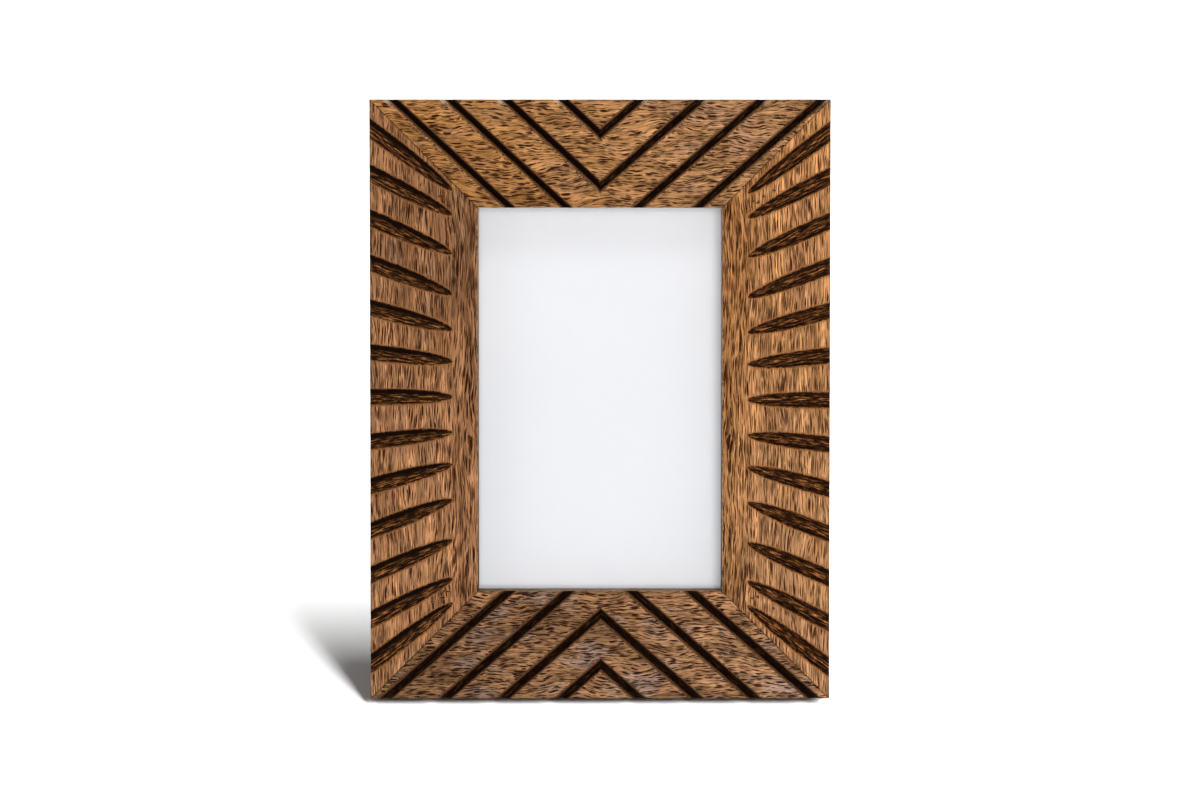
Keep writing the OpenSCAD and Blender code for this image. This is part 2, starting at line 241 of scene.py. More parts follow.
wide_pores = pore_rows(4.4, 0.56, 0.48, 0.42, (0.0, 0.0, 0.0))
fine_pores = pore_rows(3.2, 0.40, 0.47, 0.30, (31.0, 17.0, 5.0))
pores = sum_of(timber, "MAXIMUM", wide_pores, product(timber, fine_pores, 0.8))
heart = ramp(timber, knot_reach, 0.08, 0.26, 1.0, 0.0)
heart = product(timber, heart, ramp(timber, hair, 0.3, 0.6, 0.45, 0.8))
pores = sum_of(timber, "MAXIMUM", pores, heart)
patch = clouds(timber, grain, (0.05, 0.1, 0.1), 1.0, offset=(4.0, 1.0, 6.0))
patch = product(timber, ramp(timber, patch, 0.5, 0.66), given["Patches"])
colour = mixed(timber, tone, given["Pale"], given["Dark"])
colour = mixed(timber, patch, colour, given["Patch"])
mottle = clouds(timber, flow, (0.13, 0.32, 0.32), 2.0, offset=(8.0, 3.0, 1.0))
shade = ramp(timber, fibre, 0.34, 0.66, 0.43, 1.39)
shade = sum_of(timber, "ADD", shade, ramp(timber, hair, 0.3, 0.7, -0.12, 0.12))
shade = sum_of(timber, "ADD", shade, ramp(timber, mottle, 0.3, 0.7, -0.2, 0.2))
colour = mixed(timber, 1.0, colour, shade, "MULTIPLY")
feed(timber, result["Color"], mixed(timber, pores, colour, given["Pore"]))
feed(timber, result["Pore mask"], pores)
height = sum_of(timber, "SUBTRACT", product(timber, fibre, 0.5), pores)
feed(timber, result["Height"], height)


# The burning
# Every groove and ray is cut and then burnt with a hot iron. The heat blackens the cut, leaves
# brown ridges where it was lighter, and scorches a narrow fringe of the face.
burning, given, result = new_group(
    "burnt_cut",
    {"Wood": "Color", "Cut": "Vector", "Bare": "Float", "Char": "Color", "Ember": "Color",
     "Fringe": "Float", "Ragged": "Float", "Streak pitch": "Float", "From edge": "Float",
     "Chips": "Float", "Chip": "Color", "Beyond tip": "Float"},
    {"Color": "Color", "Char mask": "Float", "Height": "Float"},
)
cut = given["Cut"]
across = axes_of(burning, cut)["Y"]
within = axes_of(burning, cut)["Z"]
finer = sum_of(burning, "DIVIDE", 1.0, given["Streak pitch"])
streak_scale = add(burning, "ShaderNodeCombineXYZ", 0, {"X": 0.22, "Y": finer})
lengthwise = vector_sum(burning, "MULTIPLY", cut, streak_scale)
streaks = clouds(burning, lengthwise, (1.0, 1.0, 1.0), 3.0, 0.6)
crumbs = clouds(burning, cut, (0.9, 1.6, 0.0), 2.0)
# The scorch creeps along the grain, which crosses the cut, so its edge is finely toothed
teeth = clouds(burning, cut, (2.6, 0.35, 0.0), 2.0, offset=(3.0, 0.0, 0.0))
wander = sum_of(burning, "MULTIPLY_ADD", teeth, 0.55, sum_of(burning, "ADD", streaks, crumbs))
wander = product(burning, sum_of(burning, "SUBTRACT", wander, 1.28), given["Ragged"])
# Past its shallow tip a ray runs on as a few dark streaks
spread = ramp(burning, given["Beyond tip"], -2.5, 4.5, 0.85, -3.0)
tip = sum_of(burning, "SUBTRACT", spread, sum_of(burning, "ABSOLUTE", across))
reach = sum_of(burning, "ADD", sum_of(burning, "MAXIMUM", within, tip), wander)
charred = ramp(burning, reach, -0.3, 0.45)
fringe = product(burning, ramp(burning, reach, -1.3, -0.35), given["Fringe"])
bare = product(
    burning, given["Bare"], ramp(burning, streaks, 0.46, 0.62, 0.06, 1.0),
    ramp(burning, reach, 0.15, 0.75), ramp(burning, crumbs, 0.3, 0.6, 0.55, 1.0),
)
scorched = mixed(burning, fringe, given["Wood"], given["Ember"])
glow = clouds(burning, lengthwise, (1.0, 1.0, 1.0), 3.0, 0.6, offset=(9.0, 4.0, 0.0))
glow = ramp(burning, glow, 0.42, 0.62, 0.4, 1.9)
ember = mixed(burning, 1.0, given["Ember"], glow, "MULTIPLY")
inside = mixed(burning, bare, given["Char"], ember)
burnt = mixed(burning, charred, scorched, inside)
# Where a groove runs out over the edge, the inner side of its mouth is painted pale, partly as
# chipping to pale wood and partly as a painted highlight where the light catches the lower flank
mouth = sum_of(burning, "MULTIPLY_ADD", crumbs, 4.0, given["From edge"])
flank = product(burning, ramp(burning, across, 0.9, 1.2), ramp(burning, across, 2.5, 2.1))
near_cut = ramp(burning, within, -3.6, -2.8)
chipped_and_lit = product(burning, ramp(burning, mouth, 3.9, 2.9), flank, near_cut)
# Along the same side thin pale lines run over the face, partly marks of the tool and partly a
# painted highlight on the lit flank
scuffs = clouds(burning, cut, (0.16, 2.2, 0.0), 3.0, 0.65, offset=(11.0, 0.0, 0.0))
lifted_and_lit = product(burning, ramp(burning, across, 1.35, 1.6), ramp(burning, across, 2.4, 1.9))
lifted_and_lit = product(burning, lifted_and_lit, near_cut, ramp(burning, scuffs, 0.55, 0.66, 0.0, 0.55))
chipped_and_lit = product(burning, sum_of(burning, "MAXIMUM", chipped_and_lit, lifted_and_lit), given["Chips"])
feed(burning, result["Color"], mixed(burning, chipped_and_lit, burnt, given["Chip"]))
char_mask = product(burning, charred, sum_of(burning, "SUBTRACT", 1.0, bare))
feed(burning, result["Char mask"], char_mask)
feed(burning, result["Height"], product(burning, charred, streaks))


# Rubbed edges
# Handling takes the stain off the sharp front edges of the timber and the corners of the black
# paper, and dirt settles along the mitres.
rubbing, given, result = new_group(
    "rubbed_edge",
    {"Surface": "Color", "Rubbed": "Color", "Gap": "Float", "Place": "Vector", "Width": "Float",
     "Strength": "Float"},
    {"Color": "Color", "Rub mask": "Float"},
)
specks = clouds(rubbing, given["Place"], (0.5, 0.9, 0.9), 4.0, 0.65)
reach = product(rubbing, given["Width"], ramp(rubbing, specks, 0.35, 0.7, 0.0, 2.0))
rub = product(rubbing, ramp(rubbing, given["Gap"], 0.0, reach, 1.0, 0.0), given["Strength"])
feed(rubbing, result["Color"], mixed(rubbing, rub, given["Surface"], given["Rubbed"]))
feed(rubbing, result["Rub mask"], rub)


def use(tree, group, **sockets):
    """Places a node group and feeds its sockets, whose names have spaces where these have _"""
    node = tree.nodes.new("ShaderNodeGroup")
    node.node_tree = group
    for key, value in sockets.items():
        feed(tree, node.inputs[key.replace("_", " ")], value)
    return node.outputs


def new_material(name):
    """A material and its Principled shader"""
    material = bpy.data.materials.new(name)
    material.use_nodes = True
    return material, material.node_tree, material.node_tree.nodes["Principled BSDF"]


def bumped(tree, shader, height, distance, strength=1.0):
    """Raises the surface by its height over the distance"""
    sockets = {"Height": height, "Distance": distance, "Strength": strength}
    feed(tree, shader.inputs["Normal"], add(tree, "ShaderNodeBump", 0, sockets))


# In mm: where the outer wood gives way to the inner, and the half run of the change in colour
# along a member, which is partly the wood's tone and partly painted light
inner_from = 24.0
inner_to = 34.0
tone_and_light_half_run = 75.0
# Pale wood of the chipping at the grooves' mouths, also used as a painted highlight on the lit flank
pale_chip_and_highlight = (0.49, 0.38, 0.265, 1)


def member_material(name, stand, woods, cuts):
    """One member's own plank of timber, with its grain along the member"""
    material, tree, shader = new_material(name)
    back = stand.inverted()
    plank = {
        "Vector": add(tree, "ShaderNodeTexCoord", "Object"),
        "Location": back.to_translation() / mm + Vector(woods["log_place"]),
        "Rotation": back.to_euler(),
        "Scale": (1 / mm, 1 / mm, 1 / mm),
    }
    grain = add(tree, "ShaderNodeMapping", 0, plank)
    scale = Vector((woods["draw"], woods["fineness"], woods["fineness"]))
    figure = stretched(tree, grain, scale)
    lie = axes_of(tree, grain)
    inwards = sum_of(tree, "SUBTRACT", lie["Y"], woods["log_place"][1])
    pores = ramp(tree, inwards, inner_from, inner_to, woods["pores"], woods["inner_pores"])
    wood = use(
        tree, timber, Grain=figure, Pale=woods["pale"], Dark=woods["dark"], Patch=woods["patch"],
        Pore=woods["pore"], Patches=woods["patches"], Pores=pores,
        Knot=(Vector(woods["log_place"]) + Vector(woods["knot"])) * scale,
    )
    along = sum_of(tree, "SUBTRACT", lie["X"], woods["log_place"][0])
    # The colour changes along each member: partly the wood's tone, partly painted light and shade
    tint = mixed(tree, ramp(tree, along, -tone_and_light_half_run, tone_and_light_half_run), *woods["tone_and_light_drift"])
    inner = ramp(tree, inwards, inner_from, inner_to)
    inner = mixed(tree, inner, (1, 1, 1, 1), woods["inner_tint"])
    tint = mixed(tree, 1.0, tint, inner, "MULTIPLY")
    timber_colour = mixed(tree, 1.0, wood["Color"], tint, "MULTIPLY")
    cut = add(tree, "ShaderNodeAttribute", "Vector", attribute_name="cut")
    finish = axes_of(tree, add(tree, "ShaderNodeAttribute", "Vector", attribute_name="finish"))
    rims = axes_of(tree, add(tree, "ShaderNodeAttribute", "Vector", attribute_name="rims"))
    rubbed_and_lit = use(
        tree, rubbing, Surface=timber_colour, Rubbed=woods["rubbed_and_lit"], Gap=rims["X"], Place=grain,
        Width=0.5, Strength=0.75,
    )
    stained = use(
        tree, rubbing, Surface=rubbed_and_lit["Color"], Rubbed=woods["pore"], Gap=rims["Y"], Place=grain,
        Width=0.28, Strength=0.85,
    )
    burnt = use(
        tree, burning, Wood=stained["Color"], Cut=cut, Bare=finish["X"], Char=cuts["char"],
        Ember=cuts["ember"], Fringe=cuts["fringe"], Ragged=cuts["ragged"],
        Streak_pitch=cuts["streak_pitch"], From_edge=rims["Z"], Chips=finish["Y"],
        Chip=pale_chip_and_highlight, Beyond_tip=finish["Z"],
    )
    feed(tree, shader.inputs["Base Color"], burnt["Color"])
    worn = ramp(tree, wood["Pore mask"], 0.0, 1.0, 0.52, 0.75)
    rough = sum_of(tree, "MULTIPLY_ADD", burnt["Char mask"], 0.3, worn)
    feed(tree, shader.inputs["Roughness"], rough)
    shader.inputs["Specular IOR Level"].default_value = 0.04
    height = sum_of(tree, "MULTIPLY_ADD", burnt["Height"], 1.2, wood["Height"])
    bumped(tree, shader, height, 0.16 * mm)
    return material


# The members' set-out
# Each member is worked on in its own axes, X along it, Y inwards from its outer edge and Z out
# of its face, and a turn about the frame's middle carries it to its place.
on_plane = 0.0005 * mm
carved_depth = 3 * mm
cuts_apart = 97 * mm
far_off = 30 * mm


def fit_member(node, shape, stand, timber_name, woods, cuts):
    """A carved member, made of its own plank, in place of its solid"""
    material = member_material(timber_name, stand, woods, cuts)
    fit_piece(f"carved_{node}", shape, stand, node, "frame", [material])


def member_stand(turn, half_span):
    """Carries a member's axes to the world, for a member whose outer edge is half_span out"""
    about_middle = Matrix.Translation((0, 0, mid_h)) @ Matrix.Rotation(math.radians(turn), 4, "Y")
    on_edge = Matrix.Translation((0, -wood_t, -half_span)) @ Matrix.Rotation(math.radians(90), 4, "X")
    return leaned @ about_middle @ on_edge


def slice_at(shape, faces, normal, cuts):
    """Cuts the faces by a plane at each place along the normal, the middle one first"""
    if not cuts or not faces:
        return faces
    middle = len(cuts) // 2
    geometry = list({part for f in faces for part in (f, *f.edges, *f.verts)})
    halved = bmesh.ops.bisect_plane(
        shape, geom=geometry, dist=on_plane, plane_co=normal * cuts[middle], plane_no=normal
    )
    sides = ([], [])
    for part in halved["geom"]:
        if isinstance(part, bmesh.types.BMFace):
            sides[part.calc_center_median().dot(normal) > cuts[middle]].append(part)
    below = slice_at(shape, sides[0], normal, cuts[:middle])
    return below + slice_at(shape, sides[1], normal, cuts[middle + 1:])


def slice_across(shape, faces, normal, pitch):
    """Cuts the faces into slices of an even thickness near the pitch"""
    normal = Vector(normal)
    places = [v.co.dot(normal) for f in faces for v in f.verts]
    first, last = min(places), max(places)
    steps = max(1, round((last - first) / pitch))
    cuts = [first + (last - first) * step / steps for step in range(1, steps)]
    return slice_at(shape, faces, normal, cuts)


def carved_faces(shape):
    """The faces at the front of a member, and those of its cuts"""
    return [f for f in shape.faces if all(v.co.z > -carved_depth for v in f.verts)]


def write_attributes(shape, half_length, cut_at):
    """Stores where each point lies along and across its nearest cut, and how near the rims"""
    # Slicing can leave a needle of a face where a slice passes close to a point
    bmesh.ops.dissolve_degenerate(shape, dist=same_point, edges=shape.edges)
    cut_layer = shape.verts.layers.float_vector.new("cut")
    finish_layer = shape.verts.layers.float_vector.new("finish")
    rims_layer = shape.verts.layers.float_vector.new("rims")
    for vertex in shape.verts:
        x, y, z = vertex.co
        number, along, across, edge, bare, chips_and_highlight, beyond = cut_at(x, y)
        # The back and the walls lie clear of every cut
        if z < -carved_depth - 0.5 * mm:
            edge = -far_off
            beyond = far_off
        elif y < mm:
            beyond = far_off
        vertex[cut_layer] = Vector((along + number * cuts_apart, across, edge)) / mm
        vertex[finish_layer] = Vector((bare, chips_and_highlight, beyond / mm))
        # The wall of the sight opening is paled alike all over, as bare wood and as painted light on
        # the wall that faces up, and the other faces by their arrises
        on_sight_wall = face_w - y < 0.05 * mm
        arris = 0.12 * mm if on_sight_wall else math.hypot(min(y, face_w - y), z)
        mitre = half_length - y - abs(x)
        vertex[rims_layer] = Vector((arris / mm, mitre / mm, y / mm))


def open_mitre(shape, half_length):
    """Draws the two mitred ends back by a hair, unevenly, as a hand-cut joint closes"""
    for vertex in shape.verts:
        x, y, z = vertex.co
        if abs(half_length - y - abs(x)) < 0.01 * mm:
            gap = (0.09 + 0.05 * noise.noise(Vector((x, y, z)) / (6 * mm))) * mm
            gap *= max(0.0, 1 + z / (4 * mm))
            vertex.co.x -= math.copysign(gap, x)


# The rails
# The top and bottom rails each carry four pairs of straight grooves, which meet in points on
# the middle line. They are V cuts with a narrow floor, made with a parting tool and then burnt.
groove_first = 13 * mm
groove_pitch = 18.8 * mm
groove_pairs = 4
groove_half_w = 1.9 * mm


def groove_place(slopes, moved, x, y):
    """Number of the nearest groove, and the place along it and across it towards the sight"""
    slope = slopes[0] if x > 0 else slopes[1]
    best = None
    for number in range(groove_pairs):
        rise = y - groove_first - number * groove_pitch + abs(x) * math.tan(slope)
        across = rise * math.cos(slope) - moved[0 if x > 0 else 1][number] * mm
        if best is None or abs(across) < abs(best[2]):
            best = (number, abs(x) / math.cos(slope), across)
    return best


def carve_rail(node, stand, cuts):
    """A rail with its grooves cut by hand: each a little off its line, wavering and rounded"""
    slopes = cuts["slopes"]
    shape = solid_copy(node, stand)
    bmesh.ops.triangulate(shape, faces=shape.faces)
    half = outer_w / 2
    unmoved = ((0.0,) * groove_pairs,) * 2
    faces = carved_faces(shape)
    faces = slice_across(shape, faces, (1, 0, 0), 1.25 * mm)
    faces = slice_across(shape, faces, (0, 1, 0), 1.0 * mm)
    for vertex in {v for f in faces for v in f.verts}:
        x, y, z = vertex.co
        side = 0 if x > 0 else 1
        slope = slopes[side]
        number, along, across = groove_place(slopes, unmoved, x, y)
        half_w = cuts["half_widths"][side] * mm
        edge = groove_half_w - abs(across)
        # A groove's own line and width, blended into the plain face beside it
        if edge > 0:
            move = cuts["moved"][side][number] * mm + across * (half_w / groove_half_w - 1)
        else:
            narrowing = math.copysign(half_w - groove_half_w, across)
            move = cuts["moved"][side][number] * mm + narrowing
            move *= max(0.0, 1 + edge / (4 * mm))
        close = max(0.0, 1 - abs(edge) / (1.2 * mm))
        move += noise.noise(Vector((x, y, number)) / (3.5 * mm)) * 0.16 * mm * close
        room = half - y - abs(x)
        move *= max(0.0, min(1.0, room / (1.2 * mm)))
        # The move runs across the rail, and along it near the rail's two edges
        inwards = min(1.0, max(0.0, min(y, face_w - y) - 0.5 * mm) / (5 * mm))
        vertex.co.y += move / math.cos(slope) * inwards
        away = min(1.0, abs(x) / (5 * mm))
        outwards = math.copysign(away, x)
        vertex.co.x += move / math.sin(slope) * (1 - inwards) * outwards
        if z > -0.3 * mm and close > 0.6:
            vertex.co.z -= 0.12 * mm * (close - 0.6) / 0.4 * min(1.0, max(0.0, room / mm))

    def cut_at(x, y):
        side = 0 if x > 0 else 1
        number, along, across = groove_place(slopes, cuts["moved"], x, y)
        edge = cuts["half_widths"][side] * mm - abs(across)
        soft = cuts["scorched"][side][0 if across > 0 else 1] * mm
        edge = edge - soft * min(1.0, abs(across) / (0.6 * mm)) if edge > 0 else edge * 2.5 - soft
        number += groove_pairs if x > 0 else 0
        return number, along, across, edge, cuts["bare"][side], cuts["chips_and_highlight"][side], far_off

    write_attributes(shape, half, cut_at)
    open_mitre(shape, half)
    return shape


top_stand = member_stand(180, mid_h)
top_wood = {
    "log_place": (0.0, 0.0, 0.0),
    "knot": (-24.0, 12.0, 0.0),
    "draw": 1.0,
    "fineness": 1.0,
    "pale": (0.50, 0.244, 0.096, 1),
    "dark": (0.325, 0.152, 0.055, 1),
    "patch": (0.40, 0.205, 0.103, 1),
    "pore": (0.034, 0.011, 0.005, 1),
    "rubbed_and_lit": (0.60, 0.38, 0.19, 1),
    "patches": 0.7,
    "pores": 0.0,
    "inner_pores": 0.0,
    "tone_and_light_drift": ((0.97, 1.02, 1.15, 1), (0.95, 0.89, 0.71, 1)),
    "inner_tint": (0.92, 0.9, 0.89, 1),
}
rail_burn = {
    "char": (0.0045, 0.0014, 0.0008, 1),
    "ember": (0.12, 0.052, 0.02, 1),
    "fringe": 0.85,
    "ragged": 0.5,
    "streak_pitch": 0.75,
}
# The rail is set out from its own side, so that its first half is on the left of the frame
top_cuts = {
    "slopes": (math.radians(42.6), math.radians(40.9)),
    "half_widths": (1.6, 1.7),
    "moved": ((-0.2, -0.1, 0.0, 0.1), (-0.3, -0.1, 0.3, 0.3)),
    "scorched": ((1.1, 0.0), (0.45, 0.45)),
    "bare": (0.0, 0.2),
    # How strongly each half is painted pale at its grooves' mouths: chipping and a painted highlight
    "chips_and_highlight": (0.9, 0.45),
}
top_shape = carve_rail("top_rail", top_stand, top_cuts)
fit_member("top_rail", top_shape, top_stand, "golden_timber", top_wood, rail_burn)

bottom_stand = member_stand(0, mid_h)
bottom_wood = {
    "log_place": (210.0, 60.0, 20.0),
    # The bottom rail has no knot, so this lies far beyond its end
    "knot": (-500.0, 0.0, 0.0),
    "draw": 1.0,
    "fineness": 1.0,
    "pale": (0.335, 0.168, 0.074, 1),
    "dark": (0.19, 0.095, 0.042, 1),
    "patch": (0.25, 0.155, 0.105, 1),
    "pore": (0.020, 0.007, 0.004, 1),
    "rubbed_and_lit": (0.46, 0.29, 0.14, 1),
    "patches": 0.95,
    "pores": 0.1,
    "inner_pores": 0.1,
    "tone_and_light_drift": ((0.92, 0.92, 0.95, 1), (1.42, 1.45, 1.56, 1)),
    "inner_tint": (1.0, 0.98, 0.94, 1),
}
bottom_cuts = {
    "slopes": (math.radians(41.1), math.radians(41.0)),
    "half_widths": (1.85, 1.85),
    "moved": ((-0.5, -0.75, -1.1, -1.1), (-0.4, -0.6, -0.85, -0.8)),
    "scorched": ((0.1, 0.7), (0.8, 0.1)),
    "bare": (0.15, 0.2),
    "chips_and_highlight": (0.0, 0.0),
}
bottom_shape = carve_rail("bottom_rail", bottom_stand, bottom_cuts)
fit_member(
    "bottom_rail", bottom_shape, bottom_stand, "brown_timber", bottom_wood,
    rail_burn,
)


# The stiles
# Each stile carries thirteen rays, swept out of the outer edge with a round gouge towards the
# middle of the sight edge. Each ray has a few lengthwise ridges from the tool and was burnt.
ray_tilts = (0, 6.5, 15, 21, 23.5, 27, 37)
ray_margin = 11.4 * mm
ray_steps = len(ray_tilts) - 1
ray_pitch = (mid_h - ray_margin) / ray_steps
rays = []
for number in range(-ray_steps, ray_steps + 1):
    tilt = math.copysign(1, number) * math.radians(ray_tilts[abs(number)])
    rays.append((number * ray_pitch, math.cos(tilt), math.sin(tilt)))
ray_reach = face_w - 9.2 * mm
gouge_r = 4.25 * mm
ray_depth = 1.4 * mm
ray_low = 5 * mm


def ray_place(up, lift, x, y):
    """Number of the nearest ray, the place along and across it, its depth and half width"""
    best = None
    for number, (start, cosine, sine) in enumerate(rays):
        rise = up * x - lift - start
        across = rise * cosine + y * sine
        if best is None or abs(across) < abs(best[2]):
            best = (number, y * cosine - rise * sine, across, ray_reach / cosine)
    number, along, across, tip = best
    half_run = tip - ray_low
    sole_r = (half_run**2 + ray_depth**2) / (2 * ray_depth)
    depth = ray_depth - sole_r + math.sqrt(sole_r**2 - (along - ray_low) ** 2)
    half_w = math.sqrt(max(0.0, 2 * gouge_r * depth - depth**2)) if depth > 0 else 0.0
    return number, along, across, tip, depth, half_w


def carve_stile(node, stand, up, lift, bareness, scorched):
    """A stile with its rays gouged by hand: ridged along their length, with ragged rims"""
    shape = solid_copy(node, stand)
    bmesh.ops.triangulate(shape, faces=shape.faces)
    half = outer_h / 2
    hollows = {}
    plain = []
    for face in carved_faces(shape):
        centre = face.calc_center_median()
        low = min(v.co.z for v in face.verts)
        number, along, across, tip, depth, half_w = ray_place(up, lift, centre.x, centre.y)
        if low < -0.02 * mm and centre.y > 0.05 * mm and abs(across) < half_w + 0.3 * mm:
            if face.normal.z > 0.3:
                hollows.setdefault(number, []).append(face)
                continue
        plain.append(face)
    in_ray = set()
    for number, found in hollows.items():
        start, cosine, sine = rays[number]
        way = Vector((-up * sine, cosine, 0))
        side = Vector((up * cosine, sine, 0))
        found = slice_across(shape, found, side, 0.32 * mm)
        found = slice_across(shape, found, way, 2.2 * mm)
        in_ray.update(v for f in found for v in f.verts)
    plain = slice_across(shape, plain, (1, 0, 0), 2.0 * mm)
    plain = slice_across(shape, plain, (0, 1, 0), 2.0 * mm)
    for vertex in in_ray:
        x, y, z = vertex.co
        number, along, across, tip, depth, half_w = ray_place(up, lift, x, y)
        if depth <= 0 or abs(across) > half_w or z > -0.01 * mm:
            continue
        inset = half_w - abs(across)
        bowl = gouge_r - depth - math.sqrt(gouge_r**2 - across**2)
        phase = noise.noise(Vector((along / (9 * mm), number * 3.7, 0))) * 2.2
        ridge = math.cos(math.tau * across / (1.15 * mm) + phase) * 0.5 + 0.5
        chatter = noise.noise(Vector((along / (1.6 * mm), across / (0.8 * mm), number * 5.1)))
        worked = min(1.0, inset / (0.7 * mm))
        vertex.co.z = min(-0.01 * mm, bowl + (0.26 * ridge + 0.07 * chatter) * worked * mm)

    def cut_at(x, y):
        number, along, across, tip, depth, half_w = ray_place(up, lift, x, y)
        edge = half_w - abs(across) - max(0.0, along - tip)
        soft = scorched[0 if across > 0 else 1] * mm
        edge = edge - soft * min(1.0, abs(across) / mm) if edge > 0 else edge * 1.6 - soft
        share = max(-1.0, min(1.0, 2.0 * across / max(half_w, 0.3 * mm)))
        above, middle, below = bareness
        bare = middle + (above - middle) * max(0.0, share) + (below - middle) * max(0.0, -share)
        beyond = along - tip if abs(across) < 4 * mm else far_off
        return number, along, across, edge, bare, 0.0, beyond

    write_attributes(shape, half, cut_at)
    open_mitre(shape, half)
    return shape


left_stand = member_stand(90, outer_w / 2)
stile_wood = {
    "draw": 0.6,
    "fineness": 1.5,
    "patches": 0.7,
    "pores": 0.0,
    "inner_pores": 0.16,
}
# The left stile is darker than the right, partly in its wood and partly as painted shade
left_wood = {
    **stile_wood,
    "log_place": (500.0, 10.0, 40.0),
    "knot": (18.0, 36.3, 0.0),
    "pale": (0.455, 0.212, 0.093, 1),
    "dark": (0.25, 0.114, 0.047, 1),
    "patch": (0.31, 0.155, 0.078, 1),
    "pore": (0.028, 0.009, 0.004, 1),
    "rubbed_and_lit": (0.55, 0.33, 0.17, 1),
    "tone_and_light_drift": ((0.91, 0.90, 0.91, 1), (1.17, 1.18, 1.2, 1)),
    "inner_tint": (0.89, 0.88, 0.88, 1),
}
left_burn = {
    "char": (0.0055, 0.002, 0.001, 1),
    "ember": (0.29, 0.115, 0.036, 1),
    "fringe": 0.6,
    "ragged": 1.0,
    "streak_pitch": 0.6,
}
left_shape = carve_stile(
    "left_stile", left_stand, -1, 1.0 * mm, bareness=(0.0, 0.85, 0.7), scorched=(0.0, 0.35)
)
fit_member(
    "left_stile", left_shape, left_stand, "left_stile_timber", left_wood, left_burn
)

right_stand = member_stand(-90, outer_w / 2)
right_wood = {
    **stile_wood,
    "log_place": (800.0, 30.0, 70.0),
    "knot": (-8.0, 37.2, 0.0),
    "pale": (0.59, 0.279, 0.114, 1),
    "dark": (0.385, 0.175, 0.068, 1),
    "patch": (0.42, 0.20, 0.088, 1),
    "pore": (0.036, 0.011, 0.004, 1),
    "rubbed_and_lit": (0.60, 0.36, 0.18, 1),
    "tone_and_light_drift": ((1.03, 1.09, 1.17, 1), (1.13, 1.12, 1.07, 1)),
    "inner_tint": (0.82, 0.77, 0.69, 1),
}
right_burn = {**left_burn, "ember": (0.36, 0.135, 0.040, 1)}
right_shape = carve_stile(
    "right_stile", right_stand, 1, 0.0, bareness=(0.25, 1.0, 0.25), scorched=(0.2, 0.2)
)
fit_member(
    "right_stile", right_shape, right_stand, "right_stile_timber", right_wood,
    right_burn,
)


# The corner nails
# V nails of thin plated steel are driven into the back, two across each mitre, until their
# edges lie flush with the wood.
plating, given, result = new_group(
    "plated_metal",
    {"Place": "Vector", "Bright": "Color", "Dull": "Color", "Tarnished": "Float"},
    {"Color": "Color", "Roughness": "Float", "Height": "Float"},
)
place = given["Place"]
blooms = clouds(plating, place, (0.3, 0.3, 0.3), 5.0, 0.65)
blooms = product(plating, ramp(plating, blooms, 0.4, 0.66), given["Tarnished"])
scuffs = clouds(plating, place, (0.5, 7.0, 7.0), 2.0, offset=(3.0, 0.0, 8.0))
feed(plating, result["Color"], mixed(plating, blooms, given["Bright"], given["Dull"]))
rough = sum_of(plating, "MULTIPLY_ADD", blooms, 0.25, ramp(plating, scuffs, 0.3, 0.7, 0.24, 0.42))
feed(plating, result["Roughness"], rough)
feed(plating, result["Height"], sum_of(plating, "MULTIPLY_ADD", blooms, 0.5, scuffs))


def place_in_mm(tree):
    """The place on the object, in millimetres"""
    return stretched(tree, add(tree, "ShaderNodeTexCoord", "Object"), (1 / mm, 1 / mm, 1 / mm))


def metal_material(name, bright, dull, tarnished):
    """Plated sheet or wire, tarnished in patches and scuffed across"""
    material, tree, shader = new_material(name)
    place = place_in_mm(tree)
    finish = use(tree, plating, Place=place, Bright=bright, Dull=dull, Tarnished=tarnished)
    feed(tree, shader.inputs["Base Color"], finish["Color"])
    feed(tree, shader.inputs["Roughness"], finish["Roughness"])
    shader.inputs["Metallic"].default_value = 1.0
    bumped(tree, shader, finish["Height"], 0.03 * mm)
    return material


def refinish(node, material):
    """Gives a better material to a node that keeps its own shape"""
    for holder in frame["nodes"][node].material_slots:
        holder.material = material


nail_steel = metal_material("nail_steel", (0.34, 0.33, 0.31, 1), (0.16, 0.11, 0.07, 1), 0.9)
refinish("corner_nails", nail_steel)


# The glass
# A pane of 2 mm float glass lies against the lip. Its edges are seamed on a stone, so that they
# don't cut the hand that fits it.
def soften(shape, width, segments=2, sharper=35):
    """Rounds every edge at which the faces turn by more than so many degrees"""
    limit = math.radians(sharper)
    edges = [e for e in shape.edges if e.is_manifold and e.calc_face_angle() > limit]
    bmesh.ops.bevel(
        shape, geom=edges, offset=width, offset_type="OFFSET", segments=segments, profile=0.5,
        affect="EDGES", clamp_overlap=True, material=-1,
    )


glass_shape = solid_copy("glass_pane", leaned)
soften(glass_shape, 0.25 * mm)
# The pane and the board each touch the paper at a few points alone, with a hair of air between
air = 0.05 * mm
rear = max(v.co.y for v in glass_shape.verts)
for vertex in glass_shape.verts:
    if vertex.co.y > rear - 0.01 * mm:
        vertex.co.y -= air
glass_material, tree, shader = new_material("float_glass")
smears = clouds(tree, place_in_mm(tree), (0.05, 0.03, 0.03), 4.0, 0.6)
feed(tree, shader.inputs["Roughness"], ramp(tree, smears, 0.4, 0.7, 0.01, 0.05))
shader.inputs["Base Color"].default_value = (0.985, 0.995, 0.99, 1)
shader.inputs["Transmission Weight"].default_value = 1.0
shader.inputs["IOR"].default_value = 1.5
